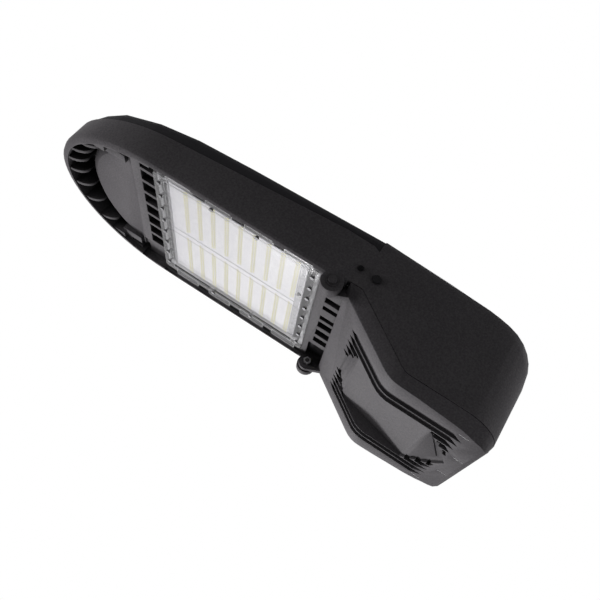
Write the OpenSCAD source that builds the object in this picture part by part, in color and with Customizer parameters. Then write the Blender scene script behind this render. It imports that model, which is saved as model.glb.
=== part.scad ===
// Street-light style LED flood luminaire with a hinged driver cover and a rear pole socket.
// Origin: centre of the pole-socket mouth on the rear face. +X leaves the socket, the nose points to -X,
// +Z is up and the lamp shines towards -Z.

/* [Body] */
// Overall length, nose tip to rear face
body_l = 665; // [650:1:700]
// Overall width across the side walls
body_w = 264; // [258:2:280]
// Length of the rear part, from the lens to the rear face
rear_l = 260; // [250:2:280]
// Plan radius of the two rear corners
rear_r = 50; // [48:1:64]
// Wall thickness of the casting
wall = 4; // [3:0.5:5]
// Height of the fin tops beside the driver box, above the socket axis
top_h = 75; // [71:1:82]
// Inset of the finned upper part behind the side wall
ledge = 5; // [3:0.5:7]
// Height of the shoulder line above the socket axis, at the lamp's rear
shoulder_h = 56; // [50:1:60]
// Fall of the shoulder line from there to the nose
shoulder_fall = 30; // [22:1:34]
// Radius of the rounded lower edge of the rim
rim_r = 7; // [5:0.5:8]

/* [Lamp] */
// Length of the lens plate
lens_l = 240; // [232:2:250]
// Width of the lens plate
lens_w = 224; // [216:2:226]
// Depth of the lens tray
lens_t = 7.5; // [6.5:0.5:9]
// Thickness of the lens face
lens_face = 2.5; // [2:0.5:3]
// Thickness of the lens gasket
gasket_t = 1.5; // [1:0.5:2.5]
// Lens face below the socket axis
lens_drop = 2; // [0:0.5:6]
// Rim edge below the lens face
rim_drop = 4.5; // [3:0.5:6]
// Deck around the lens, above the lens face
deck_up = 2.5; // [1.5:0.5:3.5]
// Thickness of the plate that carries the LED boards
base_t = 6; // [4:0.5:8]
// Distance between LED columns
led_pitch = 20.6; // [18:0.2:21]
// Distance between the LEDs of a column
chip_pitch = 5.4; // [5:0.1:7.8]
// Width of an LED across the lamp
chip = 3.2; // [2:0.1:4]
// Length of an LED along the lamp
chip_l = 4.8; // [3:0.1:6]
// Thickness of an LED board
board_t = 1.6; // [1:0.2:2]

/* [Fins and vents] */
// Distance between the cooling fins
fin_pitch = 13.5; // [12:0.5:15]
// Thickness of a cooling fin
fin_t = 3.5; // [2.5:0.5:5]
// Length of the vent slots beside the lens
slot_l = 22; // [18:1:24]
// Distance between the ribs of the front vents
slot_pitch = 24.3; // [22:0.1:26]
// Width of the ribs between the front vents
slot_rib = 5.4; // [4:0.2:8]
// Length of the teeth inside the nose rim
tooth_l = 23; // [16:1:26]

/* [Driver cover] */
// Hinge pin behind the lens edge
hinge_back = 19; // [17:1:22]
// Hinge pin below the lens face
hinge_drop = 10; // [8:1:12]
// Radius of the hinge lobes on the side walls
lobe_r = 13.5; // [12:0.5:16]
// Slope of the cover's front ramp in degrees
ramp_angle = 34; // [31:0.5:36]
// Parting line below the socket axis, at the rear
part_drop = 59; // [56:1:64]
// Depth of the cover below the parting line
door_h = 12.5; // [10:0.5:16]
// Wall thickness of the cover
door_wall = 3.5; // [3:0.5:4.5]
// Thickness of the cover's floor
floor_t = 5.5; // [4.5:0.5:7]
// Width of the sunk panel in the floor
panel_w = 130; // [110:2:136]
// Depth that the panel is sunk
panel_sink = 2.5; // [1:0.5:4]
// Distance between the styling grooves
groove_pitch = 14.2; // [14:0.1:15]
// Width of a styling groove
groove_w = 12.3; // [8:0.1:12.6]
// Depth of a styling groove
groove_d = 3.5; // [2:0.5:4]
// Gap along the parting line
part_gap = 0.6; // [0.4:0.1:1]

/* [Pole socket] */
// Bore of the pole socket
socket_d = 62; // [60:0.5:64]
// Depth of the pole socket
socket_l = 84; // [70:2:90]
// Wall of the pole socket
socket_wall = 5; // [4:0.5:6]
// Thread diameter of the pole clamp bolts
clamp_d = 8; // [6:1:10]

/* [Fasteners] */
// Diameter of the hinge bolts
hinge_d = 6; // [5:0.5:7]
// Radial running clearance of the hinge bolts
run_gap = 0.05; // [0.02:0.01:0.1]
// Diameter of the lens screws
lens_screw_d = 3; // [2.5:0.5:4]
// Radial clearance around fixed screws
fix_gap = 0.05; // [0.05:0.05:0.2]

/* [Hidden] */
$fn = 48;

shell_black = [0.15, 0.15, 0.16];
cover_grey = [0.3, 0.29, 0.3];
clear_white = [0.9, 0.9, 0.92];
board_white = [0.95, 0.95, 0.95];
chip_yellow = [0.95, 0.93, 0.62];
steel = [0.62, 0.63, 0.65];
seal_black = [0.08, 0.08, 0.08];
case_grey = [0.75, 0.76, 0.78];
plastic_black = [0.1, 0.1, 0.11];
brass_yellow = [0.78, 0.66, 0.36];

hw = body_w / 2;
nose_l = body_l - rear_l - lens_l;
eps = 0.1;
far_out = 2 * body_l;
high = 2 * top_h;

// Heights
lens_z = -lens_drop;
rim_z = lens_z - rim_drop;
deck_z = lens_z + deck_up;
frame_z = lens_z - 1;
base_z = lens_z + lens_t;
base_top = base_z + base_t;
part_z = -part_drop;
door_z = part_z - door_h;
vent_top = base_top + 15;
pad_z = lens_z + 8.5;
flank_z = pad_z + 6;

// Places along the body
lamp_x1 = -rear_l;
lamp_x0 = lamp_x1 - lens_l;
door_clear = 4.5;
hinge_x = lamp_x1 + hinge_back;
hinge_z = lens_z - hinge_drop;
door_x0 = hinge_x + lobe_r + door_clear;
box_x0 = door_x0 + 7;
fins_x1 = door_x0 + 1;
door_top = lens_z + 1;
rim_in = rim_r + 4;

// Ramp of the parting line and of the cover's underside
ramp = tan(ramp_angle);
part_x0 = door_x0 + 15;
part_knee_x = part_x0 + (door_top - part_z) / ramp;
door_front_z = lens_z - 7.8;
door_knee_x = door_x0 + (door_front_z - door_z) / ramp;
knee_r = 22;
belly_r = 40;
panel_r = 60;
// Inset of the cover's lower edge at x, and the small corner that breaks it
edge_insets = [[-150, 9.5], [-120, 9], [-96, 11], [-57, 16.5], [-40, 19], [-24, 20], [-6, 12], [0, 10]];
edge_break = 1.5;

function unit(v) = v / norm(v);
function corner(a, b, c, r, n) =
    let (u = unit(a - b), v = unit(c - b), half = acos(u * v) / 2)
    let (centre = b + unit(u + v) * r / sin(half), p = b + u * r / tan(half), q = b + v * r / tan(half))
    let (a0 = atan2(p[1] - centre[1], p[0] - centre[0]), a1 = atan2(q[1] - centre[1], q[0] - centre[0]))
    let (turn = (a1 - a0 + 540) % 360 - 180)
    [for (i = [0:n]) centre + r * [cos(a0 + turn * i / n), sin(a0 + turn * i / n)]];

// Plan outline of the body, set in by d: an elliptical nose, straight sides and round rear corners
rear_steps = 8;
function nose_arc(d, n) = [for (i = [0:n]) let (a = -90 + 180 * i / n)
    [lamp_x0 - (nose_l - d) * cos(a), -(hw - d) * sin(a)]];
function rear_arc(d, side) = [for (i = [0:rear_steps]) let (a = 90 * (side > 0 ? i : rear_steps - i) / rear_steps)
    [-rear_r + (rear_r - d) * sin(a), side * (hw - rear_r + (rear_r - d) * cos(a))]];
module plan(d) polygon(concat(nose_arc(d, 32), [for (p = rear_arc(d, 1)) [p[0], -p[1]]],
    [for (i = [rear_steps:-1:0]) rear_arc(d, 1)[i]]));
module plan_block(d, z0, z1) translate([0, 0, z0]) linear_extrude(z1 - z0) plan(d);
module plan_slice(d, z) plan_block(d, z, z + eps);

// Half width of the body at x, set in by d
function nose_half(x, d) = (hw - d) * sqrt(max(0, 1 - pow((lamp_x0 - x) / (nose_l - d), 2)));
function rear_half(x, d) = hw - rear_r + sqrt(max(0, pow(rear_r - d, 2) - pow(x + rear_r, 2)));
function half_at(x, d) = x < lamp_x0 ? nose_half(x, d) : x > -rear_r ? rear_half(x, d) : hw - d;
function nose_reach(y, d) = (nose_l - d) * sqrt(1 - pow(y / (hw - d), 2));

// A side profile given as [x, z] points, pulled across the width
module profile(points, half = body_w) rotate([90, 0, 0]) linear_extrude(2 * half, center = true) polygon(points);
module box(x, y, z) translate([x[0], y[0], z[0]]) cube([x[1] - x[0], y[1] - y[0], z[1] - z[0]]);
module both_sides(x, y, z) for (s = [-1, 1]) box(x, s > 0 ? y : [-y[1], -y[0]], z);
module mirrored() for (s = [0, 1]) mirror([0, s, 0]) children();
module pin_y(r, y0, y1) translate([0, y0, 0]) rotate([-90, 0, 0]) cylinder(r = r, h = y1 - y0);
module pin_x(r, x0, x1) translate([x0, 0, 0]) rotate([0, 90, 0]) cylinder(r = r, h = x1 - x0);
module nut(r, h) cylinder(r = r / cos(30), h = h, $fn = 6);

// Cross-section of the body at x with a broken upper edge
module station(x, half, low, top, edge) translate([x, 0, 0]) rotate([90, 0, 90]) linear_extrude(eps)
    polygon([[half, low], [half, top - 1.3 * edge], [half - 0.35 * edge, top - 0.45 * edge], [half - edge, top],
        [edge - half, top], [0.35 * edge - half, top - 0.45 * edge], [-half, top - 1.3 * edge], [-half, low]]);

// Parting line from the front of the cover to the rear, moved down by a gap
function part_path(gap) = concat(
    corner([door_x0 - 20, door_top - gap], [part_x0, door_top - gap], [part_knee_x, part_z - gap], 10, 3),
    corner([part_x0, door_top - gap], [part_knee_x, part_z - gap], [0, part_z - gap], knee_r, 5));
function above_part(gap, x0, x1) = concat([[x0, high], [x0, door_top - gap]], part_path(gap),
    [[x1, part_z - gap], [x1, high]]);
function below_part(gap) = concat([[lamp_x1, -high], [lamp_x1, door_top - gap]], part_path(gap),
    [[far_out, part_z - gap], [far_out, -high]]);

// The cover's underside as [x, z] points, raised by up
function belly(up, r, n) = concat([[door_x0, door_front_z + up]],
    corner([door_x0, door_front_z + up], [door_knee_x, door_z + up], [0, door_z + up], r, n), [[0, door_z + up]]);

// Shoulder line between the side wall and the inset upper part
shoulder_start = 60;
shoulder_x0 = shoulder_start - body_l;
shoulder_low = shoulder_h - shoulder_fall;
shoulder_points = [[-body_l - 1, shoulder_low + 3], [shoulder_x0, shoulder_low + 4], [lamp_x1, shoulder_h]];

// Top edges along the finned part and along the box: place, height and size of the broken edge
lamp_tops = [[-body_l + 6, top_h - 41, 2], [-body_l + 12, top_h - 37, 3], [-body_l + 22, top_h - 33, 4],
    [-body_l + 36, top_h - 29, 5], [-body_l + 52, top_h - 26, 7], [-body_l + 82, top_h - 20.5, 8],
    [-body_l + 135, top_h - 16.5, 8], [lamp_x0 + 24, top_h - 10, 8], [lamp_x0 + 100, top_h - 6, 8], [box_x0, top_h, 8]];
box_fall_l = 77;
box_fall = 29.5;
box_edge = 8;
box_tops = concat([[box_x0, top_h - 2, box_edge], [-130, top_h - 6, box_edge]], [for (a = [0:10:90])
    [min(-eps, box_fall_l * (sin(a) - 1)), top_h - 9.5 - box_fall * (1 - cos(a)), box_edge * (1 + 1.5 * sin(a))]]);

module wall_body() intersection() {
    hull() {
        plan_slice(rim_r, rim_z);
        plan_slice(0.3 * rim_r, rim_z + 0.3 * rim_r);
        plan_slice(0, rim_z + rim_r);
        plan_slice(0, shoulder_h);
    }
    profile(concat([[-body_l - 1, rim_z - 1]], shoulder_points, [[box_x0 - 8, shoulder_h - 1], [box_x0 + 1, shoulder_h - 5],
        [box_x0 + 1, door_top], [door_x0 - 4, door_top], [door_x0 - 4, rim_z - 1]]));
}
module fin_body() hull() for (t = lamp_tops)
    station(t[0], half_at(t[0], ledge), deck_z, t[1], min(t[2], 0.6 * half_at(t[0], ledge)));
module box_shape(d) intersection() {
    hull() for (t = box_tops) station(t[0] - d, half_at(t[0] - d, d), door_z, t[1] - d, t[2]);
    plan_block(d, door_z, high);
}
module box_body() intersection() {
    box_shape(0);
    profile(above_part(0, box_x0 - 1, 5));
}

// Nose underside: a D-shaped pad with a sloping flank stands in a deep ring
pad_x = lamp_x0 - 30;
pad_a = nose_l - 82;
pad_b = hw - 36;
pad_end = lamp_x0 - 47;
pad_flank = 10;
pad_bevel = [pad_end, lamp_x0 - 33];
module pad_slice(d, z) translate([0, 0, z]) linear_extrude(eps) intersection() {
    polygon([for (i = [0:40]) let (a = 360 * i / 40) [pad_x + (pad_a + d) * cos(a), (pad_b + d) * sin(a)]]);
    translate([-far_out, -hw]) square([far_out + pad_end, body_w]);
}
module pad() {
    hull() {
        pad_slice(0, pad_z);
        pad_slice(pad_flank, flank_z);
        pad_slice(pad_flank, vent_top + 2);
    }
    profile([[pad_end - 0.1, pad_z], [pad_bevel[1], deck_z], [pad_bevel[1], base_top], [pad_end - 0.1, base_top]],
        pad_b + pad_flank / 2);
}
tooth_pitch = 2 * fin_pitch;
tooth_t = 5;
tooth_low = rim_z + 2;
tooth_rise = 14;
web_x0 = lamp_x0 - 100;
web_slot_x = [pad_end - 18, pad_end + 3];
web_slot_y = [pad_b + 5.5, pad_b + 12.5];
module teeth() intersection() {
    union() {
        for (k = [-3:3]) let (y = k * tooth_pitch, root = lamp_x0 - nose_reach(y, rim_in))
            translate([0, y, 0]) profile(concat([[root - 3, tooth_low]], [for (a = [0:15:75])
                [root + tooth_l * sin(a), tooth_low + tooth_rise * (1 - cos(a))]],
                [[root + tooth_l, tooth_low + tooth_rise], [root + tooth_l, vent_top], [root - 3, vent_top]]), tooth_t / 2);
        both_sides([web_x0, web_x0 + 25], [hw - 38, hw], [tooth_low, vent_top]);
        both_sides([web_x0 + 20, pad_end], [pad_b - 8, hw], [deck_z, vent_top]);
    }
    plan_block(rim_in - 2, rim_z, high);
}
module nose_ring() {
    intersection() {
        plan_block(rim_in, -high, vent_top);
        box([-body_l, pad_end + 10], [-hw, hw], [-high, vent_top]);
    }
    intersection() {
        plan_block(rim_in, -high, deck_z);
        box([pad_end, door_x0 + 1], [-hw, hw], [-high, deck_z]);
    }
}

// Vent slots through the deck, in front of the lens and behind it
front_vent_x = [lamp_x0 - 1 - slot_l, lamp_x0 - 1];
rear_vent_x = [lamp_x1 + 14, lamp_x1 + 13 + slot_l];
rear_slots = [[-59, 13], [-38, 10], [-10, 10], [10, 15], [35, 16], [58, 14]];
window_y = [3 * slot_pitch + slot_rib / 2, hw - rim_in - 1];
module vents() {
    both_sides(web_slot_x, web_slot_y, [-high, base_z + 2]);
    for (k = [-5:2]) box(front_vent_x, [max(k * slot_pitch + slot_rib / 2, rim_in + 1 - hw),
        (k + 1) * slot_pitch - slot_rib / 2], [-high, vent_top]);
    box([lamp_x0 - 42, lamp_x0 - 2], window_y, [-high, base_z + 2]);
    for (s = rear_slots) box(rear_vent_x, [s[0] - s[1] / 2, s[0] + s[1] / 2], [-high, vent_top]);
    box([lamp_x1 + 9, door_x0 + 2], window_y, [-high, base_z + 2]);
}

// Gaps between the cooling fins, open to the sky
fin_room = hw - ledge - wall;
fin_count = floor((fin_room - 8) / fin_pitch);
module fin_gaps() intersection() {
    union() {
        for (k = [-fin_count:fin_count - 1]) box([-body_l, fins_x1],
            [k * fin_pitch + fin_t / 2, (k + 1) * fin_pitch - fin_t / 2], [base_top, high]);
        both_sides([-body_l, fins_x1], [fin_count * fin_pitch + fin_t / 2, fin_room], [base_top, high]);
    }
    plan_block(ledge + 28, base_top, high);
}

// Lens seat, with four long slots on each side
edge_slots = [[21, 60], [79, 117], [135, 176], [191, 231]];
lens_gap = 0.5;
seat_in = rim_r + 1;
module lens_seat() {
    box([lamp_x0 - lens_gap, lamp_x1 + lens_gap], [-lens_w / 2 - lens_gap, lens_w / 2 + lens_gap], [-high, base_z]);
    box([lamp_x0 - lens_gap, lamp_x1 + lens_gap], [seat_in - hw, hw - seat_in], [-high, frame_z]);
    for (s = edge_slots) {
        both_sides([lamp_x0 + s[0], lamp_x0 + s[1]], [lens_w / 2 - 1, hw - rim_in], [-high, base_z - 2]);
        both_sides([lamp_x0 + s[0], lamp_x0 + s[1]], [lens_w / 2 - 1, hw - rim_r + 1], [-high, rim_z + 1.5]);
    }
}

// Lens screws: a row at each end and two beside each long edge
lens_rim = 17;
lens_side = 11;
screw_in = 8;
side_screw_x = 33;
side_screw_in = 5;
lens_cx = (lamp_x0 + lamp_x1) / 2;
lens_screw_places = concat(
    [for (x = [lamp_x0 + screw_in, lamp_x1 - screw_in]) for (k = [-3.5:3.5]) [x, k * (lens_w - 2 * lens_rim) / 7]],
    [for (x = [lens_cx - side_screw_x, lens_cx + side_screw_x]) for (s = [-1, 1]) [x, s * (lens_w / 2 - side_screw_in)]]);
lens_screw_r = lens_screw_d / 2;
screw_bite = 4.5;

// Driver bay behind its front wall, open downwards inside a flange that the cover closes on
bay_x0 = box_x0 + wall + 1;
flange_in = 14;
flange_t = 4;
bay_top = top_h - 2 - wall;
module driver_bay() {
    intersection() {
        box_shape(wall);
        profile(above_part(-flange_t, bay_x0, 1));
    }
    intersection() {
        plan_block(flange_in, -high, socket_r);
        profile(above_part(1, part_x0 + 4, 1));
    }
}

// Hinge lobes on the side walls, and pockets for the cover's arms
arm_gap = 0.4;
arm_t = 8;
lobe_y = [hw - rim_in, hw];
arm_y = [lobe_y[0] - arm_gap - arm_t, lobe_y[0] - arm_gap];
arm_r = lobe_r - 2;
hinge_r = hinge_d / 2;
hinge_nut_h = 5;
module at_hinge() translate([hinge_x, 0, hinge_z]) children();
module hinge_pockets() mirrored() {
    at_hinge() pin_y(arm_r + 1.5, arm_y[0] - hinge_nut_h - 3, lobe_y[0]);
    box([hinge_x - 6, door_x0 + 2], [arm_y[0] - hinge_nut_h - 3, lobe_y[0]], [-high, hinge_z + arm_r]);
}

// Route of the LED lead
lead_y = -24;
lead_z = base_top + 4;
lead_x = lamp_x1 - lens_rim - 5.5;
channel_r = 3.5;

// Length of the pole socket with its end wall, and the shelves beside it
shelf_t = 4;
shelf_z = -12;
socket_r = socket_d / 2;
boss_out = socket_r + socket_wall;
gland_room = 16;
socket_end = -socket_l - gland_room;
socket_back = socket_end - wall;

// Driver, surge protector and terminal block, all fixed from below
boss_r = 6;
boss_screw_r = 2;
boss_bite = 8;
driver_w = 176;
driver_h = 38;
driver_x = [bay_x0 + 10, socket_back - 29];
driver_z = [lead_z - 2, lead_z - 2 + driver_h];
driver_ear = 14;
driver_cx = (driver_x[0] + driver_x[1]) / 2;
driver_holes = [for (s = [-1, 1]) [driver_cx, s * (driver_w + driver_ear) / 2]];
unit_cx = socket_back / 2 - 20;
unit_y = hw - 51;
surge_size = [44, 48, 26];
terminal_size = [40, 36, 22];
unit_ear = 10;
surge_holes = [for (s = [-1, 1]) [unit_cx + s * (surge_size[0] + unit_ear) / 2, -unit_y]];
terminal_holes = [for (s = [-1, 1]) [unit_cx + s * (terminal_size[0] + unit_ear) / 2, unit_y]];
earth_at = [unit_cx + terminal_size[0] / 2 + 8, boss_out + 13];
module bosses() {
    for (p = driver_holes) translate([p[0], p[1], driver_z[1]]) cylinder(r = boss_r, h = high);
    for (p = concat(surge_holes, terminal_holes, [earth_at]))
        translate([p[0], p[1], shelf_z]) cylinder(r = boss_r, h = boss_bite + 3);
}
module boss_holes() {
    for (p = driver_holes) translate([p[0], p[1], driver_z[1] - 1]) cylinder(r = boss_screw_r + fix_gap, h = boss_bite + 1);
    for (p = concat(surge_holes, terminal_holes, [earth_at]))
        translate([p[0], p[1], shelf_z - 1]) cylinder(r = boss_screw_r + fix_gap, h = boss_bite + 1);
}

// Pole socket on ribs, with two clamp bolts from below
clamp_x = [-30, -75];
clamp_pad = 6;
clamp_r = clamp_d / 2;
gland_r = 10;
module socket_tube() {
    pin_x(boss_out, socket_back, -1);
    box([socket_back, -1], [-shelf_t / 2, shelf_t / 2], [boss_out - 2, high]);
    both_sides([socket_back, -1], [socket_r, hw], [shelf_z, shelf_z + shelf_t]);
    for (x = clamp_x) translate([x, 0, -boss_out - clamp_pad]) cylinder(r = 2.2 * clamp_r, h = clamp_pad + socket_wall - 1);
}
module socket_holes() {
    pin_x(socket_r, -socket_l, 2);
    pin_x(socket_r - 8, socket_end, -socket_l + 1);
    pin_x(gland_r + fix_gap, socket_back - 1, socket_end + 1);
    for (x = clamp_x) translate([x, 0, -boss_out - clamp_pad - 1])
        cylinder(r = clamp_r + fix_gap, h = clamp_pad + socket_wall + 2);
}

// Channel for the LED lead, from the lens cavity to the driver bay
module lead_channel() {
    box([lead_x - channel_r - 3, box_x0 + 1], [lead_y - channel_r - 3, lead_y + channel_r + 3], [base_top - 1, lead_z + channel_r + 3]);
}
module lead_holes() {
    translate([0, lead_y, lead_z]) pin_x(channel_r, lead_x - channel_r, bay_x0 + 1);
    translate([lead_x, lead_y, base_z - 1]) cylinder(r = channel_r, h = lead_z - base_z + 1);
}

// Side wall fittings above the hinge
vent_at = [hinge_x + 40, hinge_z + 30];
side_screw_at = [hinge_x + 18, hinge_z + 32];
vent_r = 3.5;
side_screw_r = 2;
side_bite = 8;
module side_holes() {
    translate([vent_at[0], 0, vent_at[1]]) pin_y(vent_r + fix_gap, -hw - 1, -hw + 2 * wall + 1);
    mirrored() translate([side_screw_at[0], 0, side_screw_at[1]]) pin_y(side_screw_r + fix_gap, hw - side_bite, hw + 1);
}

// Lug on the rear flange for each closing clip
clip_y = 32;
clip_w = 10;
clip_t = 1;
lug_x = [-38, -flange_in + 1];
module clip_lugs() both_sides(lug_x, [clip_y - clip_w / 2 - 3, clip_y + clip_w / 2 + 3], [part_z, part_z + flange_t]);
clip_screw_r = 1.5;
clip_screw_x = lug_x[0] + 10;

module housing() color(shell_black) difference() {
    union() {
        difference() {
            union() {
                wall_body();
                fin_body();
                box_body();
            }
            nose_ring();
            driver_bay();
        }
        pad();
        teeth();
        mirrored() at_hinge() pin_y(lobe_r, lobe_y[0], lobe_y[1]);
        intersection() {
            union() {
                bosses();
                socket_tube();
            }
            box_shape(1);
        }
        clip_lugs();
    }
    hinge_pockets();
    lens_seat();
    vents();
    difference() {
        fin_gaps();
        lead_channel();
    }
    mirrored() at_hinge() pin_y(hinge_r + fix_gap, lobe_y[0] - 1, hw + 1);
    for (p = lens_screw_places) translate([p[0], p[1], base_z - 1]) cylinder(r = lens_screw_r + fix_gap, h = screw_bite + 1);
    boss_holes();
    socket_holes();
    lead_holes();
    side_holes();
    mirrored() translate([clip_screw_x, clip_y, part_z - 1]) cylinder(r = clip_screw_r + fix_gap, h = flange_t + 2);
}

// Lens plate: a shallow tray over both boards, with grooves beside them
lens_top = base_z - gasket_t;
lens_groove_y = [lens_w / 2 - 11, lens_w / 2 - 8];
lens_corner = 3;
module lens_outline(d) polygon([for (p = [[-1, -1], [1, -1], [1, 1], [-1, 1]])
    let (hx = lens_l / 2 - d, hy = lens_w / 2 - d, first = p[0] == p[1] ? 0 : lens_corner, second = lens_corner - first)
        each [[lens_cx + p[0] * (hx - first), p[1] * (hy - second)], [lens_cx + p[0] * (hx - second), p[1] * (hy - first)]]]);
tab_t = 3;
module lens_tabs() for (s = edge_slots)
    both_sides([lamp_x0 + s[0] + lens_gap, lamp_x0 + s[1] - lens_gap], [lens_w / 2 - 1.5, hw - rim_in - lens_gap], [lens_z, lens_z + tab_t]);
module lens_holes(r, z0, z1) for (p = lens_screw_places) translate([p[0], p[1], z0]) cylinder(r = r, h = z1 - z0);
cavity_x = [lamp_x0 + lens_rim, lamp_x1 - lens_rim];
cavity_l = cavity_x[1] - cavity_x[0];
cavity_y = lens_w / 2 - lens_side;
lens_groove_gap = 6;
module lens_plate() color(clear_white) difference() {
    union() {
        translate([0, 0, lens_z]) linear_extrude(lens_top - lens_z) lens_outline(0);
        lens_tabs();
    }
    box(cavity_x, [-cavity_y, cavity_y], [lens_z + lens_face, high]);
    box([cavity_x[0], cavity_x[1]], [-0.6, 0.6], [-high, lens_z + 0.8]);
    for (i = [0:2]) both_sides([cavity_x[0] + (cavity_l + lens_groove_gap) * i / 3, cavity_x[0] + (cavity_l + lens_groove_gap) * (i + 1) / 3 - lens_groove_gap],
        lens_groove_y, [-high, lens_z + 1]);
    lens_holes(lens_screw_r + 2 * fix_gap, lens_z - 1, base_z);
}
module lens_gasket() color(seal_black) difference() {
    translate([0, 0, lens_top]) linear_extrude(gasket_t) lens_outline(1);
    box(cavity_x, [-cavity_y, cavity_y], [lens_z, base_z + 1]);
    lens_holes(lens_screw_r + 2 * fix_gap, lens_z, base_z + 1);
}
module lens_screws() color(steel) for (p = lens_screw_places) translate([p[0], p[1], lens_z - 2]) {
    cylinder(r = lens_screw_d * 0.9, h = 2);
    cylinder(r = lens_screw_r, h = base_z - lens_z + 2 + screw_bite - 0.5);
}

// LED boards, one on each side of the seam, and their LEDs
board_x = [cavity_x[0] + 2, lead_x - channel_r - 1];
led_x0 = lamp_x0 + 43.7;
chip_y0 = 10.5;
chip_h = 1;
led_columns = floor((board_x[1] - chip_l - led_x0) / led_pitch) + 1;
led_rows = floor((cavity_y - chip - chip_y0) / chip_pitch) + 1;
module led_board() box(board_x, [1, cavity_y - 2], [base_z - board_t, base_z]);
module led_chips() for (i = [0:led_columns - 1]) for (j = [0:led_rows - 1])
    translate([led_x0 + i * led_pitch, chip_y0 + j * chip_pitch, base_z - board_t - chip_h / 2]) cube([chip_l, chip, chip_h], center = true);
module led_board_near() color(board_white) mirror([0, 1, 0]) led_board();
module led_board_far() color(board_white) led_board();
module led_chips_near() color(chip_yellow) mirror([0, 1, 0]) led_chips();
module led_chips_far() color(chip_yellow) led_chips();

// Cover: a shell lofted through cross-sections, its lower corners broken by a side band
front_steps = 26;
function cover_xs(d) = concat([for (i = [0:front_steps - 1]) door_x0 + d + (-rear_r - door_x0 - d) * i / front_steps],
    [for (i = [0:rear_steps]) -rear_r + (rear_r - d) * sin(90 * i / rear_steps)]);
function cover_ring(x, d, up) =
    let (half = half_at(x, d), rise = x > -5 ? (x + 5) * 2 : 0, line = lookup(x, part_path(0)))
    let (low = lookup(x, belly(up, belly_r, 8)) + rise, edge = min(low + edge_break, line + 0.5 * up))
    let (side = half - lookup(x, edge_insets), flat = side - edge_break)
    [[x, -half, high / 2], [x, -half, max(line, edge + 0.2)], [x, -side, edge], [x, -flat, low],
        [x, flat, low], [x, side, edge], [x, half, max(line, edge + 0.2)], [x, half, high / 2]];
module loft(rings) {
    n = len(rings[0]);
    m = len(rings);
    polyhedron(points = [for (r = rings) each r], faces = concat([[for (i = [0:n - 1]) i]],
        [[for (i = [n - 1:-1:0]) (m - 1) * n + i]],
        [for (j = [0:m - 2]) for (i = [0:n - 1]) each
            [[j * n + i, (j + 1) * n + i, (j + 1) * n + (i + 1) % n], [j * n + i, (j + 1) * n + (i + 1) % n, j * n + (i + 1) % n]]]));
}
module cover_loft(d, up) loft([for (x = cover_xs(d)) cover_ring(x, d, up)]);

// Sunk panel: the same underside with a much larger knee
panel_half = panel_w / 2;
panel_front = [[-195, 0], [-193, 17], [-187, 34], [-180, 48], [-174, 62], [-172.5, panel_half]];
panel_rear = [[-32, 0], [-61, 57], [-68, panel_half]];
pocket_x = [-24, -38];
pocket_y = 30;
pocket_d = panel_sink + 1.2;
panel_side = concat(panel_front, [for (i = [len(panel_rear) - 1:-1:0]) panel_rear[i]]);
panel_plan = concat(panel_side, [for (i = [len(panel_side) - 2:-1:1]) [panel_side[i][0], -panel_side[i][1]]]);
// Floor of the panel, raised by up: it runs straight past the cover's knee
panel_bends = [panel_front[4][0] + 2, panel_rear[1][0] - 1];
function panel_line(i, up) = i == 0 ? [door_x0, door_front_z + up]
    : i == 1 ? [panel_bends[0], door_front_z + up - (panel_bends[0] - door_x0) * ramp]
    : i == 2 ? [panel_bends[1], door_z + up] : [0, door_z + up];
module panel_block(grow, low, top) intersection() {
    translate([0, 0, door_z - 1]) linear_extrude(-socket_r - door_z + 1) offset(delta = grow) polygon(panel_plan);
    profile(concat([[door_x0, low], panel_line(0, top)],
        corner(panel_line(0, top), panel_line(1, top), panel_line(2, top), panel_r, 4),
        corner(panel_line(1, top), panel_line(2, top), panel_line(3, top), panel_r, 4), [panel_line(3, top), [0, low]]));
}
module pocket() translate([0, 0, door_z - 1]) linear_extrude(pocket_d + 1) polygon([[panel_rear[0][0] - 4, 0], [panel_rear[1][0], panel_rear[1][1]],
    [pocket_x[1], pocket_y], [pocket_x[0], 0], [pocket_x[1], -pocket_y], [panel_rear[1][0], -panel_rear[1][1]]]);
groove_ys = [for (k = [0:4]) panel_half + groove_w / 2 + 0.9 + (k - 3) * groove_pitch];
groove_x = [-196.5, -30];
front_ends = [-187, -180, -174];
rear_ends = [-38, -50, -62];
module groove(y, x0, x1) translate([0, y, 0]) linear_extrude(high, center = true)
    polygon([[x0, 0], [x0 + 9, groove_w / 2], [x1 - 14, groove_w / 2], [x1, -groove_w / 2], [x0 + 9, -groove_w / 2]]);
module front_groove(y, x1) translate([0, y, 0]) linear_extrude(high, center = true)
    polygon([[groove_x[0], 0], [groove_x[0] + 9, groove_w / 2], [x1, groove_w / 2], [x1, -groove_w / 2], [groove_x[0] + 9, -groove_w / 2]]);
module rear_groove(y, x0) translate([0, y, 0]) linear_extrude(high, center = true)
    polygon([[x0, -groove_w / 2], [x0, groove_w / 2], [groove_x[1] - min(14, (groove_x[1] - x0) / 2), groove_w / 2], [groove_x[1], -groove_w / 2]]);
fan_d = groove_d + 1.7;
fan_floor = 20;
module groove_depth(d) profile(concat([[door_x0, -high]], belly(d, belly_r, 8), [[0, -high]]));
module grooves() {
    intersection() {
        mirrored() for (k = [3, 4]) groove(groove_ys[k], groove_x[0], groove_x[1]);
        groove_depth(groove_d);
    }
    intersection() {
        mirrored() for (k = [0:2]) {
            front_groove(groove_ys[k], front_ends[k]);
            rear_groove(groove_ys[k], rear_ends[k]);
        }
        groove_depth(fan_d);
    }
}
slit_d = 2;
hook_x = lug_x[0] - clip_t - 0.3 - 3;
hook_low = door_z + floor_t;
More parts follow.
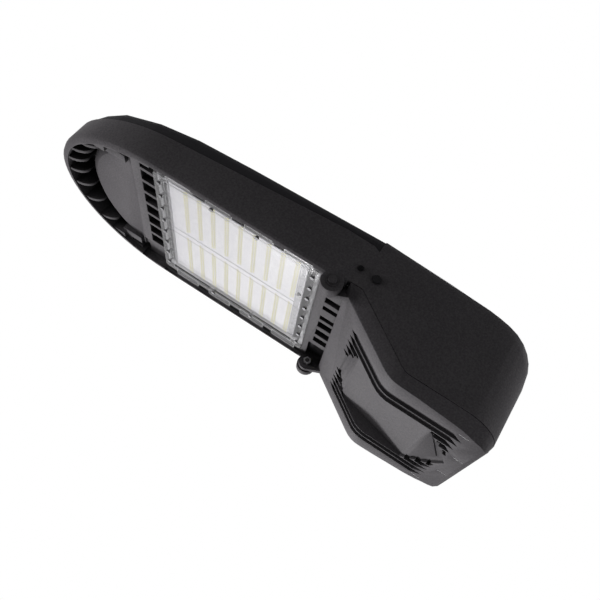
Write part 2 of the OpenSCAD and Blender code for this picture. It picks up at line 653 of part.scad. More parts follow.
module driver_cover() color(cover_grey) difference() {
    union() {
        difference() {
            intersection() {
                cover_loft(0, 0);
                profile(below_part(part_gap));
            }
            cover_loft(door_wall, floor_t);
        }
        intersection() {
            panel_block(fan_floor, door_z + 1, panel_sink + floor_t - 1);
            cover_loft(door_wall / 2, 1);
        }
        mirrored() {
            at_hinge() pin_y(arm_r, arm_y[0], arm_y[1]);
            translate([0, (arm_y[0] + arm_y[1]) / 2, 0]) profile([[hinge_x, hinge_z + arm_r], [door_x0 - 3, door_top - part_gap],
                [door_x0 + 8, door_top - part_gap], [door_x0 + 8, door_front_z - 3], [hinge_x + 6, hinge_z - arm_r + 1.5],
                [hinge_x, hinge_z - arm_r]], arm_t / 2);
        }
        both_sides([hook_x, hook_x + 3], [clip_y - clip_w / 2, clip_y + clip_w / 2], [hook_low - 1, part_z - 3]);
    }
    panel_block(0, -high, panel_sink);
    pocket();
    grooves();
    mirrored() at_hinge() pin_y(hinge_r + run_gap, arm_y[0] - 1, arm_y[1] + 1);
    for (y = [32, 97]) both_sides(y < 50 ? [-23, -10] : [-40, -27], [y - 0.75, y + 0.75], [-high, door_z + slit_d]);
}
module cover_gasket() color(seal_black) intersection() {
    difference() {
        plan_block(5, -high, 0);
        plan_block(8, -high, 0);
        box([-body_l, part_x0 + 14], [-hw, hw], [-high, 0]);
    }
    difference() {
        profile(below_part(0));
        profile(below_part(part_gap));
    }
}

// Hinge bolts enter from outside, through the lobe and the cover's arm
flange_h = 0.4 * hinge_r;
cap_h = hinge_r;
module hinge_bolts() color(steel) mirrored() at_hinge() {
    pin_y(hinge_r, arm_y[0] - hinge_nut_h - 1, hw + 0.5);
    pin_y(2.5 * hinge_r, hw, hw + flange_h);
    pin_y(1.7 * hinge_r, hw + flange_h - 0.1, hw + flange_h + cap_h);
}
module hinge_nuts() color(steel) mirrored() at_hinge() translate([0, arm_y[0] - arm_gap, 0]) rotate([90, 0, 0])
    difference() {
        nut(1.65 * hinge_r, hinge_nut_h);
        translate([0, 0, -1]) cylinder(r = hinge_r, h = hinge_nut_h + 2);
    }

// Spring clips that hold the cover shut
module cover_clips() color(steel) mirrored() translate([0, clip_y, 0]) difference() {
    union() {
        box([lug_x[0] - clip_t, lug_x[0] + 18], [-clip_w / 2, clip_w / 2], [part_z + flange_t, part_z + flange_t + clip_t]);
        box([lug_x[0] - clip_t, lug_x[0]], [-clip_w / 2, clip_w / 2], [hook_low + 1.5, part_z + flange_t + 0.5]);
    }
    translate([clip_screw_x, 0, part_z]) cylinder(r = clip_screw_r + fix_gap, h = 20);
}
module clip_screws() color(steel) mirrored() translate([clip_screw_x, clip_y, part_z + 0.5]) {
    cylinder(r = clip_screw_r, h = flange_t + clip_t);
    translate([0, 0, flange_t + clip_t - 0.5]) cylinder(r = 2.8, h = 2);
}

// Electrical gear
module led_driver() color(case_grey) difference() {
    union() {
        box(driver_x, [-driver_w / 2, driver_w / 2], driver_z);
        box([driver_cx - 12, driver_cx + 12], [-driver_w / 2 - driver_ear, driver_w / 2 + driver_ear], [driver_z[1] - 2, driver_z[1]]);
    }
    for (p = driver_holes) translate([p[0], p[1], driver_z[0]]) cylinder(r = boss_screw_r + fix_gap, h = high);
}
module screw_up(p, z, t) translate([p[0], p[1], z - t - 3]) {
    cylinder(r = 1.9 * boss_screw_r, h = 3);
    cylinder(r = boss_screw_r, h = 3 + t + boss_bite - 0.5);
}
module driver_screws() color(steel) for (p = driver_holes) screw_up(p, driver_z[1], 2);
module unit_case(size, y, holes) difference() {
    union() {
        box([unit_cx - size[0] / 2, unit_cx + size[0] / 2], [y - size[1] / 2, y + size[1] / 2], [shelf_z - size[2], shelf_z]);
        box([unit_cx - size[0] / 2 - unit_ear, unit_cx + size[0] / 2 + unit_ear], [y - 7, y + 7], [shelf_z - 3, shelf_z]);
    }
    for (p = holes) translate([p[0], p[1], shelf_z - 10]) cylinder(r = boss_screw_r + fix_gap, h = 12);
}
module surge_protector() color(plastic_black) unit_case(surge_size, -unit_y, surge_holes);
module surge_screws() color(steel) for (p = surge_holes) screw_up(p, shelf_z, 3);
module terminal_block() color(case_grey) difference() {
    unit_case(terminal_size, unit_y, terminal_holes);
    for (x = [-12, 0, 12]) translate([unit_cx + x, unit_y + 8, shelf_z - terminal_size[2] - 1]) cylinder(r = 3, h = 7);
}
module terminal_screws() color(steel) for (p = terminal_holes) screw_up(p, shelf_z, 3);
module earth_screw() color(brass_yellow) screw_up(earth_at, shelf_z, 0);

// Cable gland through the inner end of the pole socket
module cable_gland() color(plastic_black) difference() {
    union() {
        pin_x(gland_r, socket_back - 9, socket_end + 1);
        translate([socket_end, 0, 0]) rotate([0, 90, 0]) nut(12, 6);
        pin_x(11, socket_end + 5, socket_end + 14);
    }
    pin_x(lead_r, socket_back - 10, socket_end + 20);
}
module gland_nut() color(plastic_black) difference() {
    translate([socket_back - 6, 0, 0]) rotate([0, 90, 0]) nut(13, 6);
    pin_x(gland_r, socket_back - 7, socket_back + 1);
}

// Clamp bolts, backed off from the bore, and their lock nuts
clamp_nut_h = 1.6 * clamp_r;
clamp_out = 4 * clamp_r;
module pole_clamp_bolts() color(steel) for (x = clamp_x) translate([x, 0, -boss_out - clamp_pad - clamp_out]) {
    nut(1.62 * clamp_r, 1.3 * clamp_r);
    cylinder(r = clamp_r, h = clamp_out + clamp_pad + socket_wall - 0.4);
}
module pole_clamp_nuts() color(steel) for (x = clamp_x) translate([x, 0, -boss_out - clamp_pad - clamp_nut_h]) difference() {
    nut(1.62 * clamp_r, clamp_nut_h);
    translate([0, 0, -1]) cylinder(r = clamp_r, h = clamp_nut_h + 2);
}

// Side wall fittings
module vent_plug() color(plastic_black) translate([vent_at[0], 0, vent_at[1]]) {
    pin_y(5, -hw - 2, -hw);
    pin_y(vent_r, -hw - 1, -hw + wall + 3);
}
module side_screws() color(steel) mirrored() translate([side_screw_at[0], 0, side_screw_at[1]]) {
    pin_y(side_screw_r, hw - side_bite + 0.5, hw + 1);
    pin_y(3.2, hw, hw + 1.8);
}

// Leads: tubes swept along their own points
lead_r = 3;
wire_r = 1.5;
function ring_at(p, dir, r, sides) = let (side = unit(cross(dir, abs(dir[1]) > 0.9 ? [1, 0, 0] : [0, 1, 0])), up = cross(dir, side))
    [for (i = [0:sides - 1]) p + r * (cos(360 * i / sides) * side + sin(360 * i / sides) * up)];
module sweep(points, r, sides) loft([for (i = [0:len(points) - 1]) ring_at(points[i],
    unit(points[min(i + 1, len(points) - 1)] - points[max(i - 1, 0)]), r, sides)]);
module led_lead() color(seal_black) sweep([[board_x[1] + 0.5, lead_y, lens_z + 5], [lead_x - 0.5, lead_y, lens_z + 6],
    [lead_x, lead_y, base_z + 3], [lead_x + 0.7, lead_y, lead_z - 2], [lead_x + 4, lead_y, lead_z], [box_x0, lead_y, lead_z],
    [driver_x[0], lead_y, lead_z]], wire_r, 8);
mains_y = unit_y - 8;
mains_z = shelf_z - 12;
lead_bend = socket_back - 15;
module mains_lead() color(seal_black) sweep([[socket_back - 9, 0, 0], [lead_bend + 1, 1, -1], [lead_bend - 3, 0.1 * mains_y, mains_z / 4],
    [lead_bend - 4, 0.4 * mains_y, mains_z * 0.7], [lead_bend - 1, 0.8 * mains_y, mains_z + 2], [lead_bend + 7, mains_y - 3, mains_z],
    [socket_back, mains_y, mains_z], [unit_cx - terminal_size[0] / 2, mains_y, mains_z]], lead_r, 8);
supply_y = unit_y + 12;
supply_z = shelf_z - 8;
entry_z = driver_z[0] + 6;
module supply_lead(start_x, side, r) sweep([[start_x, side * supply_y, supply_z], [driver_x[1] + 14, side * supply_y, supply_z],
    [driver_x[1] + 8, side * (supply_y - 4), shelf_z + 8], [driver_x[1] + 7, side * unit_y, driver_z[0]],
    [driver_x[1] + 4, side * (unit_y - 2), entry_z], [driver_x[1], side * (unit_y - 2), entry_z]], r, 8);
module driver_leads() color(seal_black) {
    supply_lead(unit_cx - terminal_size[0] / 2, 1, lead_r);
    supply_lead(unit_cx - surge_size[0] / 2, -1, wire_r);
}

housing();
lens_plate();
lens_gasket();
lens_screws();
led_board_near();
led_board_far();
led_chips_near();
led_chips_far();
driver_cover();
cover_gasket();
hinge_bolts();
hinge_nuts();
cover_clips();
clip_screws();
led_driver();
driver_screws();
surge_protector();
surge_screws();
terminal_block();
terminal_screws();
earth_screw();
cable_gland();
gland_nut();
pole_clamp_bolts();
pole_clamp_nuts();
vent_plug();
side_screws();
led_lead();
mains_lead();
driver_leads();
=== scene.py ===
import math

import bpy
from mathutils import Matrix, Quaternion, Vector


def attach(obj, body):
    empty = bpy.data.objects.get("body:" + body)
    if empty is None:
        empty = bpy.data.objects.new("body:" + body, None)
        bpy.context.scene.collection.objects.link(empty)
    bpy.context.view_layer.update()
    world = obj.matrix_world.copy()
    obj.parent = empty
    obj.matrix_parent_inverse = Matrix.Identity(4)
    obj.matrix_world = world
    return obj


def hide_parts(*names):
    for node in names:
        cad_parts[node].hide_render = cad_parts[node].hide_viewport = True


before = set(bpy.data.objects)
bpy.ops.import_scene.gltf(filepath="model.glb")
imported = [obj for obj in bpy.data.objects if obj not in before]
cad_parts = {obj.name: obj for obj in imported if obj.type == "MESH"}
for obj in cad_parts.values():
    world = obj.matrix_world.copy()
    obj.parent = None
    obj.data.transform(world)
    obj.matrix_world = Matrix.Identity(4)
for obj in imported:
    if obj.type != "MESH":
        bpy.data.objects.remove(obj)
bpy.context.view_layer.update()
mm = 0.001
smoothAngle = math.radians(35)  # faces that meet at less than this shade as one


# Stage: camera, lamps, floor and background

studio = {
    "cameraPlace": (-0.1413, -0.7547, -0.3553),
    "cameraTarget": (-0.2816, 0.0, 0.0107),
    "cameraRoll": 36.65,  # degrees, because the luminaire stands slanted in the picture
    "lensLength": 39.0,
    "sensorWidth": 36.0,
    "floorHeight": -2.4,  # low enough to stay under the lamps
    "floorCenterX": -0.3,
    "floorSize": 12.0,
    "floorColor": (0.62, 0.62, 0.63, 1),
    "floorRoughness": 0.9,
    "floorGlow": 0.97,  # share of plain white that the camera sees on the floor
    "skyColor": (1, 1, 1, 1),
    "skyLevel": 0.045,
}

lamps = {  # name: place, aimed at, width, power, colour
    "farUnder": ((-0.75, 1.9, -1.6), (-0.25, 0, 0), 0.8, 54.0, (1, 0.99, 1)),
    "noseUnder": ((-1.6, -0.3, -0.4), (-0.35, 0, 0), 0.5, 6.0, (1, 0.98, 0.99)),
    "rearRim": ((1.2, -0.3, 0.05), (0, 0, 0), 0.5, 4.0, (1, 1, 1)),
    "topSoft": ((-0.3, 1.0, 1.4), (-0.3, 0, 0), 1.2, 12.5, (1, 1, 1)),
}


def aim(place, target):
    return (Vector(target) - Vector(place)).to_track_quat("-Z", "Y")


def addCamera():
    data = bpy.data.cameras.new("camera")
    data.lens = studio["lensLength"]
    data.sensor_width = studio["sensorWidth"]
    camera = bpy.data.objects.new("camera", data)
    bpy.context.scene.collection.objects.link(camera)
    camera.location = studio["cameraPlace"]
    camera.rotation_mode = "QUATERNION"
    roll = Quaternion((0, 0, 1), math.radians(studio["cameraRoll"]))
    camera.rotation_quaternion = aim(studio["cameraPlace"], studio["cameraTarget"]) @ roll
    bpy.context.scene.camera = camera


def addLamps():
    for name, (place, target, width, power, color) in lamps.items():
        data = bpy.data.lights.new(name, "AREA")
        data.shape = "DISK"
        data.size = width
        data.energy = power
        data.color = color
        lamp = bpy.data.objects.new(name, data)
        bpy.context.scene.collection.objects.link(lamp)
        lamp.location = place
        lamp.rotation_mode = "QUATERNION"
        lamp.rotation_quaternion = aim(place, target)
        lamp.visible_camera = False
        lamp.visible_transmission = False


def seenDirectly(tree):  # 1 where the camera looks, straight or by way of glass and gloss
    rays = tree.nodes.new("ShaderNodeLightPath")
    seen = rays.outputs["Is Camera Ray"]
    for other in ("Is Glossy Ray", "Is Transmission Ray"):
        larger = tree.nodes.new("ShaderNodeMath")
        larger.operation = "MAXIMUM"
        tree.links.new(seen, larger.inputs[0])
        tree.links.new(rays.outputs[other], larger.inputs[1])
        seen = larger.outputs[0]
    return seen


def addWorld():
    bpy.context.scene.view_settings.view_transform = "Standard"
    world = bpy.data.worlds.new("studioWorld")
    bpy.context.scene.world = world
    world.use_nodes = True
    tree = world.node_tree
    background = tree.nodes["Background"]
    level = tree.nodes.new("ShaderNodeMapRange")
    level.inputs["To Min"].default_value = studio["skyLevel"]
    tree.links.new(seenDirectly(tree), level.inputs["Value"])
    tree.links.new(level.outputs["Result"], background.inputs["Strength"])
    background.inputs["Color"].default_value = studio["skyColor"]


def addFloor():
    bpy.ops.object.select_all(action="DESELECT")
    bpy.ops.mesh.primitive_plane_add(
        size=studio["floorSize"], location=(studio["floorCenterX"], 0, studio["floorHeight"]))
    floor = bpy.context.object
    floor.name = "floor"
    material = newMaterial("floorPaint")
    shader = shaderOf(material)
    shader.inputs["Base Color"].default_value = studio["floorColor"]
    shader.inputs["Roughness"].default_value = studio["floorRoughness"]
    glow = addNode(material, "ShaderNodeEmission", Strength=1.0)
    share = addNode(material, "ShaderNodeMath")
    share.operation = "MULTIPLY"
    share.inputs[1].default_value = studio["floorGlow"]
    link(material, seenDirectly(material.node_tree), share.inputs[0])
    mix = addNode(material, "ShaderNodeMixShader")
    link(material, share.outputs[0], mix.inputs[0])
    link(material, shader.outputs[0], mix.inputs[1])
    link(material, glow.outputs[0], mix.inputs[2])
    surface = material.node_tree.nodes["Material Output"].inputs["Surface"]
    link(material, mix.outputs[0], surface)
    floor.data.materials.append(material)


# Materials

def newMaterial(name):
    material = bpy.data.materials.new(name)
    material.use_nodes = True
    return material


def addNode(material, kind, **sockets):
    node = material.node_tree.nodes.new(kind)
    for name, value in sockets.items():
        node.inputs[name].default_value = value
    return node


def link(material, source, target):
    material.node_tree.links.new(source, target)


def shaderOf(material):
    return material.node_tree.nodes["Principled BSDF"]


def addNoise(material, scale, detail):
    place = addNode(material, "ShaderNodeTexCoord").outputs["Object"]
    noise = addNode(material, "ShaderNodeTexNoise", Scale=scale, Detail=detail)
    link(material, place, noise.inputs["Vector"])
    return noise.outputs["Fac"]


def addRamp(material, factor, dark, light):
    ramp = addNode(material, "ShaderNodeValToRGB")
    ramp.color_ramp.elements[0].color = dark
    ramp.color_ramp.elements[1].color = light
    link(material, factor, ramp.inputs["Fac"])
    return ramp


def addBump(material, height, strength, distance):
    bump = addNode(material, "ShaderNodeBump", Strength=strength, Distance=distance)
    link(material, height, bump.inputs["Height"])
    link(material, bump.outputs["Normal"], shaderOf(material).inputs["Normal"])


powderCoat = {
    "dark": (0.078, 0.073, 0.079, 1),
    "light": (0.122, 0.116, 0.123, 1),
    # painted shade: the finned top's colours are a darker copy of the powder coat, for the shade
    # on it
    "finShadeDark": (0.014, 0.013, 0.016, 1),
    "finShadeLight": (0.020, 0.019, 0.022, 1),
    "rampStart": 0.38,
    "rampEnd": 0.62,
    "patchScale": 9.0,
    "patchDetail": 4.0,
    "grainScale": 480.0,
    "grainDetail": 2.0,
    "grainShare": 0.62,
    "grainStrength": 0.35,
    "grainHeight": 0.0002,
    "roughness": 0.65,
    "specular": 0.12,
    "finSpecular": 0.09,
    "paintedShadeReach": 0.05,  # painted shade: the coat's colour is darkened in hollows, for the shade that falls there
    "paintedShadeSamples": 8,
    "paintedShadeFrom": 0.25,
    "paintedShadeTo": 0.97,
    "paintedShadeLevel": 0.03,
}


def addPaintedHollowShade(material):  # painted shade: a factor of 1 on open faces, falling to the lowest level in deep hollows, multiplied into the coat's colour
    hollows = addNode(material, "ShaderNodeAmbientOcclusion", Distance=powderCoat["paintedShadeReach"])
    hollows.samples = powderCoat["paintedShadeSamples"]
    shade = addNode(material, "ShaderNodeMapRange")
    shade.inputs["From Min"].default_value = powderCoat["paintedShadeFrom"]
    shade.inputs["From Max"].default_value = powderCoat["paintedShadeTo"]
    shade.inputs["To Min"].default_value = powderCoat["paintedShadeLevel"]
    link(material, hollows.outputs["AO"], shade.inputs["Value"])
    return shade.outputs["Result"]


def makeShadedPowderCoat(name, dark, light, specular):
    material = newMaterial(name)
    shader = shaderOf(material)
    patches = addNoise(material, powderCoat["patchScale"], powderCoat["patchDetail"])
    grain = addNoise(material, powderCoat["grainScale"], powderCoat["grainDetail"])
    blend = addNode(material, "ShaderNodeMix", Factor=powderCoat["grainShare"])
    link(material, patches, blend.inputs["A"])
    link(material, grain, blend.inputs["B"])
    ramp = addRamp(material, blend.outputs["Result"], dark, light)
    ramp.color_ramp.elements[0].position = powderCoat["rampStart"]
    ramp.color_ramp.elements[1].position = powderCoat["rampEnd"]
    shaded = addNode(material, "ShaderNodeMix")
    shaded.data_type = "RGBA"
    shaded.blend_type = "MULTIPLY"
    shaded.inputs["Factor"].default_value = 1.0
    link(material, ramp.outputs["Color"], shaded.inputs["A"])
    # painted shade: ambient occlusion multiplies the coat's colour down in hollows
    link(material, addPaintedHollowShade(material), shaded.inputs["B"])
    link(material, shaded.outputs["Result"], shader.inputs["Base Color"])
    addBump(material, grain, powderCoat["grainStrength"], powderCoat["grainHeight"])
    shader.inputs["Roughness"].default_value = powderCoat["roughness"]
    shader.inputs["Specular IOR Level"].default_value = specular
    return material


speckle = {
    "scale": 300.0,
    "detail": 3.0,
    "bumpStrength": 0.25,
    "bumpHeight": 0.00002,
}

speckledFinishes = {  # name: darker colour, lighter colour, roughness, and what else it sets
    "sealRubber": ((0.008, 0.008, 0.009), (0.014, 0.014, 0.015), 0.75, {"specular": 0.05}),
    "greySilicone": ((0.5, 0.5, 0.52), (0.85, 0.85, 0.87), 0.6, {"scale": 200.0, "specular": 0.2}),
    "boardMask": ((0.66, 0.65, 0.72), (1.0, 1.0, 1.0), 0.45, {"scale": 170.0}),
    "bareMetal": ((0.5, 0.5, 0.54), (0.85, 0.85, 0.88), 0.5, {"scale": 170.0, "specular": 0.2}),
    "ledPhosphor": ((0.95, 0.86, 0.05), (1.0, 0.98, 0.48), 0.3, {"scale": 220.0}),
    "zincSteel": ((0.42, 0.42, 0.43), (0.56, 0.56, 0.58), 0.35, {"metallic": 1.0}),
    "darkSteel": ((0.07, 0.07, 0.075), (0.14, 0.14, 0.145), 0.55, {"metallic": 0.6}),
    # painted highlight: near-white, for the highlights on the slit lips
    "paintedHighlight": ((0.8, 0.8, 0.82), (0.95, 0.95, 0.96), 0.35, {}),
    "driverCase": ((0.5, 0.51, 0.52), (0.6, 0.61, 0.62), 0.4, {"metallic": 0.9}),
    "greyPlastic": ((0.3, 0.3, 0.31), (0.36, 0.36, 0.37), 0.5, {}),
    "blackPlastic": ((0.010, 0.010, 0.011), (0.018, 0.018, 0.020), 0.6, {"specular": 0.08}),
    "brass": ((0.5, 0.36, 0.12), (0.6, 0.45, 0.17), 0.3, {"metallic": 1.0}),
    "cableSheath": ((0.010, 0.010, 0.011), (0.018, 0.018, 0.019), 0.55, {}),
}


def makeSpeckled(name, dark, light, roughness, metallic=0.0, scale=speckle["scale"], specular=0.5):
    material = newMaterial(name)
    shader = shaderOf(material)
    noise = addNoise(material, scale, speckle["detail"])
    ramp = addRamp(material, noise, (*dark, 1), (*light, 1))
    link(material, ramp.outputs["Color"], shader.inputs["Base Color"])
    addBump(material, noise, speckle["bumpStrength"], speckle["bumpHeight"])
    shader.inputs["Roughness"].default_value = roughness
    shader.inputs["Metallic"].default_value = metallic
    shader.inputs["Specular IOR Level"].default_value = specular
    return material


clearFinishes = {  # painted highlight: the moulded beads are coloured whiter and less clear than the flat lens, for the light their edges catch
    "clearLens": {
        "Base Color": (0.93, 0.93, 0.94, 1),
        "Roughness": 0.12,
        "Alpha": 0.2,
        "IOR": 1.49,
    },
    "clearEdge": {
        "Base Color": (0.75, 0.75, 0.77, 1),
        "Roughness": 0.25,
        "Alpha": 0.6,
    },
}


def makeClear(name, sockets):
    material = newMaterial(name)
    shader = shaderOf(material)
    for socket, value in sockets.items():
        shader.inputs[socket].default_value = value
    return material


finishes = {}


def makeFinishes():
    finishes["powderCoat"] = makeShadedPowderCoat(
        "powderCoat", powderCoat["dark"], powderCoat["light"], powderCoat["specular"])
    # painted shade: a darker copy of the powder coat for the finned top
    finishes["shadedFinCoat"] = makeShadedPowderCoat(
        "shadedFinCoat", powderCoat["finShadeDark"], powderCoat["finShadeLight"], powderCoat["finSpecular"])
    for name, sockets in clearFinishes.items():
        finishes[name] = makeClear(name, sockets)
    for name, (dark, light, roughness, others) in speckledFinishes.items():
        finishes[name] = makeSpeckled(name, dark, light, roughness, **others)


nodeFinishes = {  # any other node is zinc-plated steel
    "housing": "powderCoat",
    "driver_cover": "powderCoat",
    "hinge_bolts": "powderCoat",
    "lens_plate": "clearLens",
    "lens_gasket": "greySilicone",
    "lens_screws": "darkSteel",
    "led_board_near": "boardMask",
    "led_board_far": "boardMask",
    "led_chips_near": "ledPhosphor",
    "led_chips_far": "ledPhosphor",
    "cover_gasket": "sealRubber",
    # painted shade: the side screws take the near-black seal rubber so that they read as the dark
    # holes they sit in
    "side_screws": "sealRubber",
    "vent_plug": "blackPlastic",
    "led_driver": "driverCase",
    "surge_protector": "blackPlastic",
    "terminal_block": "greyPlastic",
    "cable_gland": "blackPlastic",
    "gland_nut": "blackPlastic",
    "earth_screw": "brass",
    "led_lead": "cableSheath",
    "mains_lead": "cableSheath",
    "driver_leads": "cableSheath",
}


def dressNodes():
    for name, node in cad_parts.items():
        finish = finishes[nodeFinishes.get(name, "zincSteel")]
        for place in node.material_slots:
            place.material = finish


# Shared steps of modelling

def selectFaces(piece, wanted):
    bpy.ops.object.mode_set(mode="EDIT")
    bpy.ops.mesh.select_all(action="DESELECT")
    bpy.ops.mesh.select_mode(type="FACE")
    bpy.ops.object.mode_set(mode="OBJECT")
    for face in piece.data.polygons:
        face.select = wanted(face)
    bpy.ops.object.mode_set(mode="EDIT")


def selectAllFaces(piece):
    selectFaces(piece, lambda face: True)


def closeMesh():  # turns the faces of the mesh in edit mode outwards and leaves edit mode
    bpy.ops.mesh.select_all(action="SELECT")
    bpy.ops.mesh.normals_make_consistent(inside=False)
    bpy.ops.object.mode_set(mode="OBJECT")


def newPlane(name, x0, x1, y0, y1, z):
    bpy.ops.object.select_all(action="DESELECT")
    bpy.ops.mesh.primitive_plane_add(size=1, location=((x0 + x1) / 2, (y0 + y1) / 2, z))
    piece = bpy.context.object
    piece.name = name
    piece.scale = (x1 - x0, y1 - y0, 1)
    bpy.ops.object.transform_apply(location=True, rotation=False, scale=True)
    return piece


def copyTo(source, place):
    piece = source.copy()
    piece.data = source.data.copy()
    bpy.context.scene.collection.objects.link(piece)
    piece.location = place
    return piece


def joinPieces(pieces, name):
    bpy.ops.object.select_all(action="DESELECT")
    for piece in pieces:
        piece.select_set(True)
    bpy.context.view_layer.objects.active = pieces[0]
    bpy.ops.object.join()
    pieces[0].name = name
    return pieces[0]


def joinCopies(first, copies, name):  # first was only the pattern, so it goes
    bpy.data.objects.remove(first)
    piece = joinPieces(copies, name)
    bpy.ops.object.transform_apply(location=True, rotation=False, scale=False)
    return piece


# Castings: the solids with their edges broken, as a die leaves them

castings = {
    "mergeDistance": 0.02 * mm,
    "flatAngle": math.radians(1.0),  # faces that meet at less than this become one
    "edgeWidth": 1.0 * mm,
    "edgeSegments": 2,
    "edgeAngle": math.radians(28.0),
}


def startPiece(source, name):
    piece = source.copy()
    piece.data = source.data.copy()
    piece.name = name
    piece.parent = None
    piece.matrix_world = source.matrix_world
    bpy.context.scene.collection.objects.link(piece)
    bpy.ops.object.select_all(action="DESELECT")
    piece.select_set(True)
    bpy.context.view_layer.objects.active = piece
    return piece


def breakEdges(source, name, body):
    piece = startPiece(source, name)
    bpy.ops.object.mode_set(mode="EDIT")
    bpy.ops.mesh.select_all(action="SELECT")
    bpy.ops.mesh.remove_doubles(threshold=castings["mergeDistance"])
    bpy.ops.mesh.dissolve_limited(angle_limit=castings["flatAngle"])
    bpy.ops.object.mode_set(mode="OBJECT")
    bevel = piece.modifiers.new("brokenEdges", "BEVEL")
    bevel.width = castings["edgeWidth"]
    bevel.segments = castings["edgeSegments"]
    bevel.limit_method = "ANGLE"
    bevel.angle_limit = castings["edgeAngle"]
    bpy.ops.object.modifier_apply(modifier=bevel.name)
    bpy.ops.object.shade_smooth_by_angle(angle=smoothAngle)
    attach(piece, body)
    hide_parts(source.name)
    return piece


def coatFaces(piece, finish, wanted):
    piece.data.materials.append(finishes[finish])
    count = 0
    for face in piece.data.polygons:
        if wanted(face):
            face.material_index = len(piece.data.materials) - 1
            count += 1
    print(finish, "on", count, "faces of", piece.name)


finnedTop = {  # its shoulder line rises from the nose to the rise's end and then runs level
    "noseX": -665 * mm,
    "riseEndX": -260 * mm,
    "rearX": -229 * mm,
    "halfWidth": 127.6 * mm,
    "noseHeight": 27.0 * mm,
    "rearHeight": 54.5 * mm,
}


# faces of the finned top, which take the painted shade
def onFins(face):
    x, y, z = face.center
    rise = finnedTop["rearHeight"] - finnedTop["noseHeight"]
    slope = rise / (finnedTop["riseEndX"] - finnedTop["noseX"])
    shoulder = finnedTop["noseHeight"] + slope * (x - finnedTop["noseX"])
    return (x < finnedTop["rearX"] and z > min(shoulder, finnedTop["rearHeight"])
            and abs(y) < finnedTop["halfWidth"])


lensPocket = {
    "noseX": -490 * mm,
    "rearX": -270 * mm,
    "halfWidth": 112 * mm,
    "lowest": 1.0 * mm,
    "highest": 14.0 * mm,
    "facing": -0.9,  # the floor looks straight down
}


def onPocketFloor(face):
    x, y, z = face.center
    return (lensPocket["noseX"] < x < lensPocket["rearX"] and abs(y) < lensPocket["halfWidth"]
            and lensPocket["lowest"] < z < lensPocket["highest"]
            and face.normal.z < lensPocket["facing"])


def makeCastings():
    for node, body in (("housing", "fixture"), ("driver_cover", "cover")):
        piece = breakEdges(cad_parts[node], node + "Casting", body)
        if node == "housing":
            coatFaces(piece, "shadedFinCoat", onFins)  # painted shade: the finned top is coloured darker than the wall around it, for the shade it lies in
            coatFaces(piece, "bareMetal", onPocketFloor)  # seen as a light margin through the lens
        print("casting", piece.name, len(piece.data.polygons), "faces")


# Lens trim: moulded beads round the tabs and clips, and near-black strips beside the far edge that
# are painted shade

lensTrim = {  # places and sizes in mm
    "faceHeight": -2.0,  # the plate's outer face
    "sunk": 0.1,  # the trim starts this far inside the plate
    "beadWidth": 0.6,
    "beadHeight": 0.5,
    "beadCorner": 2.0,
    "cornerSegments": 4,
    "tabXs": ((-479.5, -440.5), (-421.5, -383.5), (-365.5, -324.5), (-309.5, -269.5)),
    "tabInner": 105.0,
    "tabOuter": 119.6,
    "clipXs": (-481.0, -279.5),
    "clipRows": 8,
    "clipPitch": 27.14,
    "clipLength": 7.0,
    "clipWidth": 19.0,
    "slotXs": ((-483, -418.3), (-412.3, -347.6), (-341.6, -277)),
    "slotY": 97.5,
    "slotWidth": 2.6,
    "slotDepth": 0.6,
    "slotRounding": 0.98,  # share of the half width, so that the ends stay closed
    "slotSegments": 6,
}


def trimPlane(name, x0, x1, y0, y1):
    z = lensTrim["faceHeight"] * mm + lensTrim["sunk"] * mm
    return newPlane(name, x0, x1, y0, y1, z)


def growDown(depth):  # everything in the mesh, by this much
    bpy.ops.mesh.select_all(action="SELECT")
    bpy.ops.mesh.extrude_region_move(TRANSFORM_OT_translate={"value": (0, 0, -depth)})


def beadFrame(name, x0, x1, y0, y1):  # a raised bead round a rectangle of the lens face
    piece = trimPlane(name, x0 * mm, x1 * mm, y0 * mm, y1 * mm)
    selectAllFaces(piece)
    bpy.ops.mesh.bevel(
        offset=lensTrim["beadCorner"] * mm, segments=lensTrim["cornerSegments"], affect="VERTICES")
    bpy.ops.mesh.select_all(action="SELECT")
    bpy.ops.mesh.inset(thickness=lensTrim["beadWidth"] * mm)
    bpy.ops.mesh.delete(type="FACE")
    growDown(lensTrim["beadHeight"] * mm)
    closeMesh()
    return piece


def makeLensBeads():
    beads = []
    inner, outer = lensTrim["tabInner"], lensTrim["tabOuter"]
    for start, end in lensTrim["tabXs"]:
        for low, high in ((-outer, -inner), (inner, outer)):
            beads.append(beadFrame("tabBead", start, end, low, high))
    halfLength = lensTrim["clipLength"] / 2
    halfWidth = lensTrim["clipWidth"] / 2
    for x in lensTrim["clipXs"]:
        for row in range(lensTrim["clipRows"]):
            y = (row - (lensTrim["clipRows"] - 1) / 2) * lensTrim["clipPitch"]
            beads.append(beadFrame(
                "clipBead", x - halfLength, x + halfLength, y - halfWidth, y + halfWidth))
    bead = joinPieces(beads, "lensBeads")
    # painted highlight on the moulded beads
    bead.data.materials.append(finishes["clearEdge"])
    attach(bead, "fixture")
    print("lens beads", len(beads))


def makeFarSlotShades():
    slots = []
    y = lensTrim["slotY"] * mm
    half = lensTrim["slotWidth"] / 2 * mm
    for start, end in lensTrim["slotXs"]:
        piece = trimPlane("farSlotShade", start * mm, end * mm, y - half, y + half)
        selectAllFaces(piece)
        bpy.ops.mesh.bevel(
            offset=half * lensTrim["slotRounding"], segments=lensTrim["slotSegments"],
            affect="VERTICES")
        growDown(lensTrim["slotDepth"] * mm)
        closeMesh()
        slots.append(piece)
    strip = joinPieces(slots, "farSlotShades")
    # painted shade: near-black strips on the far side only, where the gap beside the lens lies in
    # shade
    strip.data.materials.append(finishes["sealRubber"])
    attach(strip, "fixture")
    print("lens slots", len(slots))


# LEDs: every row of the boards carries a pair of packages

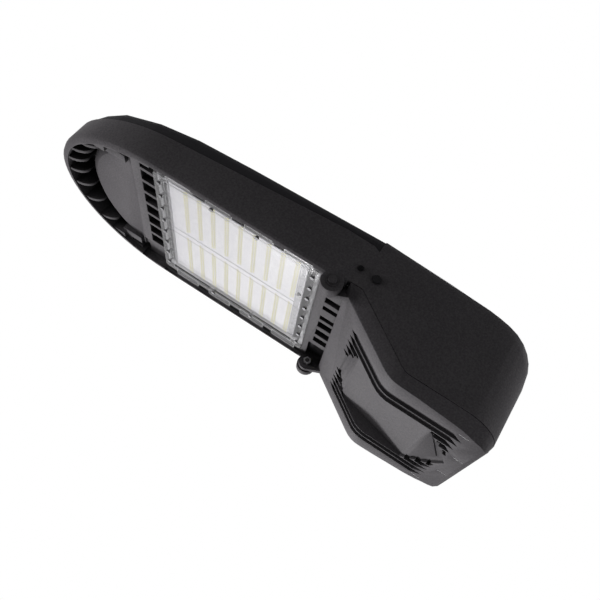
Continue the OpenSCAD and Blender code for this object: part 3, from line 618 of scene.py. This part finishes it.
ledPairs = {
    "firstX": -456.3 * mm,
    "columns": 9,
    "columnPitch": 20.6 * mm,
    "firstY": 10.5 * mm,
    "rows": 17,
    "rowPitch": 5.4 * mm,
    "gap": 3.6 * mm,
    "stagger": 0.5,  # share of the row pitch between the two of a pair
    "length": 2.5 * mm,
    "width": 2.0 * mm,
    "top": 3.9 * mm,
    "height": 0.5 * mm,
    "rim": 0.4 * mm,
    "dome": 0.15 * mm,
}


def makeLedPackage():
    bpy.ops.object.select_all(action="DESELECT")
    bpy.ops.mesh.primitive_cube_add(size=1, location=(0, 0, 0))
    package = bpy.context.object
    package.scale = (ledPairs["length"], ledPairs["width"], ledPairs["height"])
    bpy.ops.object.transform_apply(location=False, rotation=False, scale=True)
    selectFaces(package, lambda face: face.normal.z < -0.5)
    bpy.ops.mesh.inset(thickness=ledPairs["rim"])
    bpy.ops.transform.translate(value=(0, 0, -ledPairs["dome"]))
    bpy.ops.object.mode_set(mode="OBJECT")
    package.data.materials.append(finishes["ledPhosphor"])
    return package


def makeLedPairs():
    for side, node in ((-1, "led_chips_near"), (1, "led_chips_far")):
        first = makeLedPackage()
        copies = []
        z = ledPairs["top"] - ledPairs["height"] / 2
        for column in range(ledPairs["columns"]):
            columnX = ledPairs["firstX"] + column * ledPairs["columnPitch"]
            for row in range(ledPairs["rows"]):
                for half in (-0.5, 0.5):
                    rowPlace = row + half * ledPairs["stagger"]
                    y = side * (ledPairs["firstY"] + rowPlace * ledPairs["rowPitch"])
                    copies.append(copyTo(first, (columnX + half * ledPairs["gap"], y, z)))
        piece = joinCopies(first, copies, node + "Pairs")
        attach(piece, "fixture")
        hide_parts(node)
        print("leds", piece.name, len(copies))


# Lips of the four small slits at the cover's rear edge, coloured near-white as a painted highlight

slitLips = {
    "places": ((-16.5, -32), (-16.5, 32), (-33.5, -97), (-33.5, 97)),  # mm
    "length": 12.6 * mm,
    "radius": 0.7 * mm,
    "sides": 10,
    "height": -70.75 * mm,
    "endWidth": 0.3 * mm,
    "endSegments": 2,
}


def makeSlitLips():
    bpy.ops.object.select_all(action="DESELECT")
    bpy.ops.mesh.primitive_cylinder_add(
        vertices=slitLips["sides"], radius=slitLips["radius"], depth=slitLips["length"],
        rotation=(0, math.pi / 2, 0))
    first = bpy.context.object
    bpy.ops.object.transform_apply(location=False, rotation=True, scale=False)
    selectFaces(first, lambda face: abs(face.normal.x) > 0.9)
    bpy.ops.mesh.bevel(offset=slitLips["endWidth"], segments=slitLips["endSegments"])
    bpy.ops.object.mode_set(mode="OBJECT")
    # painted highlight: the lips are near-white where the dark coat catches the light
    first.data.materials.append(finishes["paintedHighlight"])
    copies = []
    for x, y in slitLips["places"]:
        copies.append(copyTo(first, (x * mm, y * mm, slitLips["height"])))
    piece = joinCopies(first, copies, "slitLips")
    bpy.ops.object.shade_smooth_by_angle(angle=smoothAngle)
    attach(piece, "cover")
    print("slit lips", len(copies))


addCamera()
addLamps()
addWorld()
addFloor()
print("studio ready")
makeFinishes()
dressNodes()
print("finishes ready")
makeCastings()
makeLensBeads()
makeFarSlotShades()
makeLedPairs()
makeSlitLips()
